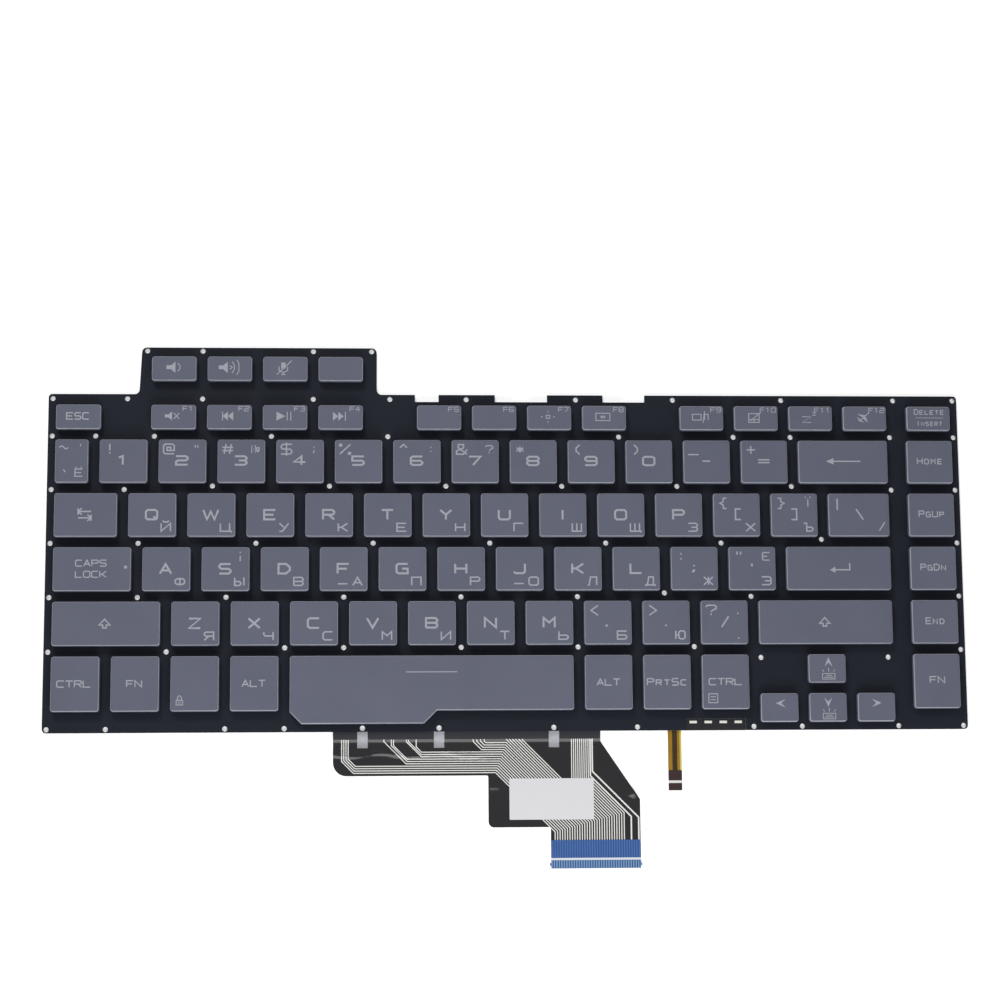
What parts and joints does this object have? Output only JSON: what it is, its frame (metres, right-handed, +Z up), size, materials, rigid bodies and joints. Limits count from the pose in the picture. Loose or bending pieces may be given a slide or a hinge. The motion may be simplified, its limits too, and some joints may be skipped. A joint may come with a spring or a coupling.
{
  "type": "laptop replacement keyboard",
  "caption": "Full-size laptop keyboard without its case: grey island keys on scissor links over a flat riveted film sandwich, with a ribbon and a backlight flex at the front.",
  "frame": {"origin": "middle of the main rectangle of the sandwich, on its underside", "axes": "+X to the right along the key rows, +Y away from the typist, +Z up out of the key tops"},
  "size_m": [0.3002, 0.1702, 0.0052],
  "materials": {
    "keycap": "fine matte paint",
    "plate": "satin sheet",
    "membrane": "glossy printed film",
    "shield": "matte black film",
    "guide": "clear sheet",
    "underside_film": "matte black film",
    "dome": "translucent silicone",
    "link": "natural acetal",
    "flex": "glossy amber film",
    "stiffener": "glossy blue film",
    "label": "blank matte film",
    "pad": "conductive woven tape"
  },
  "bodies": {
    "chassis": {"base_plate": "plate", "switch_membrane": "membrane", "light_shield": "shield", "light_guide": "guide", "underside_film": "underside_film", "rubber_domes": "dome", "scissor_links": "link", "backlight_flex": "flex", "ribbon_stiffener": "stiffener", "ribbon_label": "label", "ground_pads": "pad", "function_keys": "keycap", "outer_keys": "keycap"},
    "key_tab": {"key_tab": "keycap"},
    "key_q": {"key_q": "keycap"},
    "key_w": {"key_w": "keycap"},
    "key_e": {"key_e": "keycap"},
    "key_r": {"key_r": "keycap"},
    "key_t": {"key_t": "keycap"},
    "key_y": {"key_y": "keycap"},
    "key_u": {"key_u": "keycap"},
    "key_i": {"key_i": "keycap"},
    "key_o": {"key_o": "keycap"},
    "key_p": {"key_p": "keycap"},
    "key_left_bracket": {"key_left_bracket": "keycap"},
    "key_right_bracket": {"key_right_bracket": "keycap"},
    "key_backslash": {"key_backslash": "keycap"},
    "key_caps_lock": {"key_caps_lock": "keycap"},
    "key_a": {"key_a": "keycap"},
    "key_s": {"key_s": "keycap"},
    "key_d": {"key_d": "keycap"},
    "key_f": {"key_f": "keycap"},
    "key_g": {"key_g": "keycap"},
    "key_h": {"key_h": "keycap"},
    "key_j": {"key_j": "keycap"},
    "key_k": {"key_k": "keycap"},
    "key_l": {"key_l": "keycap"},
    "key_semicolon": {"key_semicolon": "keycap"},
    "key_quote": {"key_quote": "keycap"},
    "key_enter": {"key_enter": "keycap"},
    "key_left_shift": {"key_left_shift": "keycap"},
    "key_z": {"key_z": "keycap"},
    "key_x": {"key_x": "keycap"},
    "key_c": {"key_c": "keycap"},
    "key_v": {"key_v": "keycap"},
    "key_b": {"key_b": "keycap"},
    "key_n": {"key_n": "keycap"},
    "key_m": {"key_m": "keycap"},
    "key_comma": {"key_comma": "keycap"},
    "key_period": {"key_period": "keycap"},
    "key_slash": {"key_slash": "keycap"},
    "key_right_shift": {"key_right_shift": "keycap"},
    "key_left_control": {"key_left_control": "keycap"},
    "key_left_function": {"key_left_function": "keycap"},
    "key_system": {"key_system": "keycap"},
    "key_left_alt": {"key_left_alt": "keycap"},
    "key_space": {"key_space": "keycap"},
    "key_right_alt": {"key_right_alt": "keycap"},
    "key_print": {"key_print": "keycap"},
    "key_right_control": {"key_right_control": "keycap"}
  },
  "joints": [
    {"name": "press_tab", "type": "slide", "parent": "chassis", "child": "key_tab", "axis": [0, 0, -1], "range_m": [0, 0.0017], "stiffness_N_per_m": 320, "springref_m": -0.0004, "deforming": ["rubber_domes", "scissor_links"]},
    {"name": "press_q", "type": "slide", "parent": "chassis", "child": "key_q", "axis": [0, 0, -1], "range_m": [0, 0.0017], "stiffness_N_per_m": 320, "springref_m": -0.0004, "deforming": ["rubber_domes", "scissor_links"]},
    {"name": "press_w", "type": "slide", "parent": "chassis", "child": "key_w", "axis": [0, 0, -1], "range_m": [0, 0.0017], "stiffness_N_per_m": 320, "springref_m": -0.0004, "deforming": ["rubber_domes", "scissor_links"]},
    {"name": "press_e", "type": "slide", "parent": "chassis", "child": "key_e", "axis": [0, 0, -1], "range_m": [0, 0.0017], "stiffness_N_per_m": 320, "springref_m": -0.0004, "deforming": ["rubber_domes", "scissor_links"]},
    {"name": "press_r", "type": "slide", "parent": "chassis", "child": "key_r", "axis": [0, 0, -1], "range_m": [0, 0.0017], "stiffness_N_per_m": 320, "springref_m": -0.0004, "deforming": ["rubber_domes", "scissor_links"]},
    {"name": "press_t", "type": "slide", "parent": "chassis", "child": "key_t", "axis": [0, 0, -1], "range_m": [0, 0.0017], "stiffness_N_per_m": 320, "springref_m": -0.0004, "deforming": ["rubber_domes", "scissor_links"]},
    {"name": "press_y", "type": "slide", "parent": "chassis", "child": "key_y", "axis": [0, 0, -1], "range_m": [0, 0.0017], "stiffness_N_per_m": 320, "springref_m": -0.0004, "deforming": ["rubber_domes", "scissor_links"]},
    {"name": "press_u", "type": "slide", "parent": "chassis", "child": "key_u", "axis": [0, 0, -1], "range_m": [0, 0.0017], "stiffness_N_per_m": 320, "springref_m": -0.0004, "deforming": ["rubber_domes", "scissor_links"]},
    {"name": "press_i", "type": "slide", "parent": "chassis", "child": "key_i", "axis": [0, 0, -1], "range_m": [0, 0.0017], "stiffness_N_per_m": 320, "springref_m": -0.0004, "deforming": ["rubber_domes", "scissor_links"]},
    {"name": "press_o", "type": "slide", "parent": "chassis", "child": "key_o", "axis": [0, 0, -1], "range_m": [0, 0.0017], "stiffness_N_per_m": 320, "springref_m": -0.0004, "deforming": ["rubber_domes", "scissor_links"]},
    {"name": "press_p", "type": "slide", "parent": "chassis", "child": "key_p", "axis": [0, 0, -1], "range_m": [0, 0.0017], "stiffness_N_per_m": 320, "springref_m": -0.0004, "deforming": ["rubber_domes", "scissor_links"]},
    {"name": "press_left_bracket", "type": "slide", "parent": "chassis", "child": "key_left_bracket", "axis": [0, 0, -1], "range_m": [0, 0.0017], "stiffness_N_per_m": 320, "springref_m": -0.0004, "deforming": ["rubber_domes", "scissor_links"]},
    {"name": "press_right_bracket", "type": "slide", "parent": "chassis", "child": "key_right_bracket", "axis": [0, 0, -1], "range_m": [0, 0.0017], "stiffness_N_per_m": 320, "springref_m": -0.0004, "deforming": ["rubber_domes", "scissor_links"]},
    {"name": "press_backslash", "type": "slide", "parent": "chassis", "child": "key_backslash", "axis": [0, 0, -1], "range_m": [0, 0.0017], "stiffness_N_per_m": 320, "springref_m": -0.0004, "deforming": ["rubber_domes", "scissor_links"]},
    {"name": "press_caps_lock", "type": "slide", "parent": "chassis", "child": "key_caps_lock", "axis": [0, 0, -1], "range_m": [0, 0.0017], "stiffness_N_per_m": 320, "springref_m": -0.0004, "deforming": ["rubber_domes", "scissor_links"]},
    {"name": "press_a", "type": "slide", "parent": "chassis", "child": "key_a", "axis": [0, 0, -1], "range_m": [0, 0.0017], "stiffness_N_per_m": 320, "springref_m": -0.0004, "deforming": ["rubber_domes", "scissor_links"]},
    {"name": "press_s", "type": "slide", "parent": "chassis", "child": "key_s", "axis": [0, 0, -1], "range_m": [0, 0.0017], "stiffness_N_per_m": 320, "springref_m": -0.0004, "deforming": ["rubber_domes", "scissor_links"]},
    {"name": "press_d", "type": "slide", "parent": "chassis", "child": "key_d", "axis": [0, 0, -1], "range_m": [0, 0.0017], "stiffness_N_per_m": 320, "springref_m": -0.0004, "deforming": ["rubber_domes", "scissor_links"]},
    {"name": "press_f", "type": "slide", "parent": "chassis", "child": "key_f", "axis": [0, 0, -1], "range_m": [0, 0.0017], "stiffness_N_per_m": 320, "springref_m": -0.0004, "deforming": ["rubber_domes", "scissor_links"]},
    {"name": "press_g", "type": "slide", "parent": "chassis", "child": "key_g", "axis": [0, 0, -1], "range_m": [0, 0.0017], "stiffness_N_per_m": 320, "springref_m": -0.0004, "deforming": ["rubber_domes", "scissor_links"]},
    {"name": "press_h", "type": "slide", "parent": "chassis", "child": "key_h", "axis": [0, 0, -1], "range_m": [0, 0.0017], "stiffness_N_per_m": 320, "springref_m": -0.0004, "deforming": ["rubber_domes", "scissor_links"]},
    {"name": "press_j", "type": "slide", "parent": "chassis", "child": "key_j", "axis": [0, 0, -1], "range_m": [0, 0.0017], "stiffness_N_per_m": 320, "springref_m": -0.0004, "deforming": ["rubber_domes", "scissor_links"]},
    {"name": "press_k", "type": "slide", "parent": "chassis", "child": "key_k", "axis": [0, 0, -1], "range_m": [0, 0.0017], "stiffness_N_per_m": 320, "springref_m": -0.0004, "deforming": ["rubber_domes", "scissor_links"]},
    {"name": "press_l", "type": "slide", "parent": "chassis", "child": "key_l", "axis": [0, 0, -1], "range_m": [0, 0.0017], "stiffness_N_per_m": 320, "springref_m": -0.0004, "deforming": ["rubber_domes", "scissor_links"]},
    {"name": "press_semicolon", "type": "slide", "parent": "chassis", "child": "key_semicolon", "axis": [0, 0, -1], "range_m": [0, 0.0017], "stiffness_N_per_m": 320, "springref_m": -0.0004, "deforming": ["rubber_domes", "scissor_links"]},
    {"name": "press_quote", "type": "slide", "parent": "chassis", "child": "key_quote", "axis": [0, 0, -1], "range_m": [0, 0.0017], "stiffness_N_per_m": 320, "springref_m": -0.0004, "deforming": ["rubber_domes", "scissor_links"]},
    {"name": "press_enter", "type": "slide", "parent": "chassis", "child": "key_enter", "axis": [0, 0, -1], "range_m": [0, 0.0017], "stiffness_N_per_m": 320, "springref_m": -0.0004, "deforming": ["rubber_domes", "scissor_links"]},
    {"name": "press_left_shift", "type": "slide", "parent": "chassis", "child": "key_left_shift", "axis": [0, 0, -1], "range_m": [0, 0.0017], "stiffness_N_per_m": 320, "springref_m": -0.0004, "deforming": ["rubber_domes", "scissor_links"]},
    {"name": "press_z", "type": "slide", "parent": "chassis", "child": "key_z", "axis": [0, 0, -1], "range_m": [0, 0.0017], "stiffness_N_per_m": 320, "springref_m": -0.0004, "deforming": ["rubber_domes", "scissor_links"]},
    {"name": "press_x", "type": "slide", "parent": "chassis", "child": "key_x", "axis": [0, 0, -1], "range_m": [0, 0.0017], "stiffness_N_per_m": 320, "springref_m": -0.0004, "deforming": ["rubber_domes", "scissor_links"]},
    {"name": "press_c", "type": "slide", "parent": "chassis", "child": "key_c", "axis": [0, 0, -1], "range_m": [0, 0.0017], "stiffness_N_per_m": 320, "springref_m": -0.0004, "deforming": ["rubber_domes", "scissor_links"]},
    {"name": "press_v", "type": "slide", "parent": "chassis", "child": "key_v", "axis": [0, 0, -1], "range_m": [0, 0.0017], "stiffness_N_per_m": 320, "springref_m": -0.0004, "deforming": ["rubber_domes", "scissor_links"]},
    {"name": "press_b", "type": "slide", "parent": "chassis", "child": "key_b", "axis": [0, 0, -1], "range_m": [0, 0.0017], "stiffness_N_per_m": 320, "springref_m": -0.0004, "deforming": ["rubber_domes", "scissor_links"]},
    {"name": "press_n", "type": "slide", "parent": "chassis", "child": "key_n", "axis": [0, 0, -1], "range_m": [0, 0.0017], "stiffness_N_per_m": 320, "springref_m": -0.0004, "deforming": ["rubber_domes", "scissor_links"]},
    {"name": "press_m", "type": "slide", "parent": "chassis", "child": "key_m", "axis": [0, 0, -1], "range_m": [0, 0.0017], "stiffness_N_per_m": 320, "springref_m": -0.0004, "deforming": ["rubber_domes", "scissor_links"]},
    {"name": "press_comma", "type": "slide", "parent": "chassis", "child": "key_comma", "axis": [0, 0, -1], "range_m": [0, 0.0017], "stiffness_N_per_m": 320, "springref_m": -0.0004, "deforming": ["rubber_domes", "scissor_links"]},
    {"name": "press_period", "type": "slide", "parent": "chassis", "child": "key_period", "axis": [0, 0, -1], "range_m": [0, 0.0017], "stiffness_N_per_m": 320, "springref_m": -0.0004, "deforming": ["rubber_domes", "scissor_links"]},
    {"name": "press_slash", "type": "slide", "parent": "chassis", "child": "key_slash", "axis": [0, 0, -1], "range_m": [0, 0.0017], "stiffness_N_per_m": 320, "springref_m": -0.0004, "deforming": ["rubber_domes", "scissor_links"]},
    {"name": "press_right_shift", "type": "slide", "parent": "chassis", "child": "key_right_shift", "axis": [0, 0, -1], "range_m": [0, 0.0017], "stiffness_N_per_m": 320, "springref_m": -0.0004, "deforming": ["rubber_domes", "scissor_links"]},
    {"name": "press_left_control", "type": "slide", "parent": "chassis", "child": "key_left_control", "axis": [0, 0, -1], "range_m": [0, 0.0017], "stiffness_N_per_m": 320, "springref_m": -0.0004, "deforming": ["rubber_domes", "scissor_links"]},
    {"name": "press_left_function", "type": "slide", "parent": "chassis", "child": "key_left_function", "axis": [0, 0, -1], "range_m": [0, 0.0017], "stiffness_N_per_m": 320, "springref_m": -0.0004, "deforming": ["rubber_domes", "scissor_links"]},
    {"name": "press_system", "type": "slide", "parent": "chassis", "child": "key_system", "axis": [0, 0, -1], "range_m": [0, 0.0017], "stiffness_N_per_m": 320, "springref_m": -0.0004, "deforming": ["rubber_domes", "scissor_links"]},
    {"name": "press_left_alt", "type": "slide", "parent": "chassis", "child": "key_left_alt", "axis": [0, 0, -1], "range_m": [0, 0.0017], "stiffness_N_per_m": 320, "springref_m": -0.0004, "deforming": ["rubber_domes", "scissor_links"]},
    {"name": "press_space", "type": "slide", "parent": "chassis", "child": "key_space", "axis": [0, 0, -1], "range_m": [0, 0.0017], "stiffness_N_per_m": 320, "springref_m": -0.0004, "deforming": ["rubber_domes", "scissor_links"]},
    {"name": "press_right_alt", "type": "slide", "parent": "chassis", "child": "key_right_alt", "axis": [0, 0, -1], "range_m": [0, 0.0017], "stiffness_N_per_m": 320, "springref_m": -0.0004, "deforming": ["rubber_domes", "scissor_links"]},
    {"name": "press_print", "type": "slide", "parent": "chassis", "child": "key_print", "axis": [0, 0, -1], "range_m": [0, 0.0017], "stiffness_N_per_m": 320, "springref_m": -0.0004, "deforming": ["rubber_domes", "scissor_links"]},
    {"name": "press_right_control", "type": "slide", "parent": "chassis", "child": "key_right_control", "axis": [0, 0, -1], "range_m": [0, 0.0017], "stiffness_N_per_m": 320, "springref_m": -0.0004, "deforming": ["rubber_domes", "scissor_links"]}
  ]
}
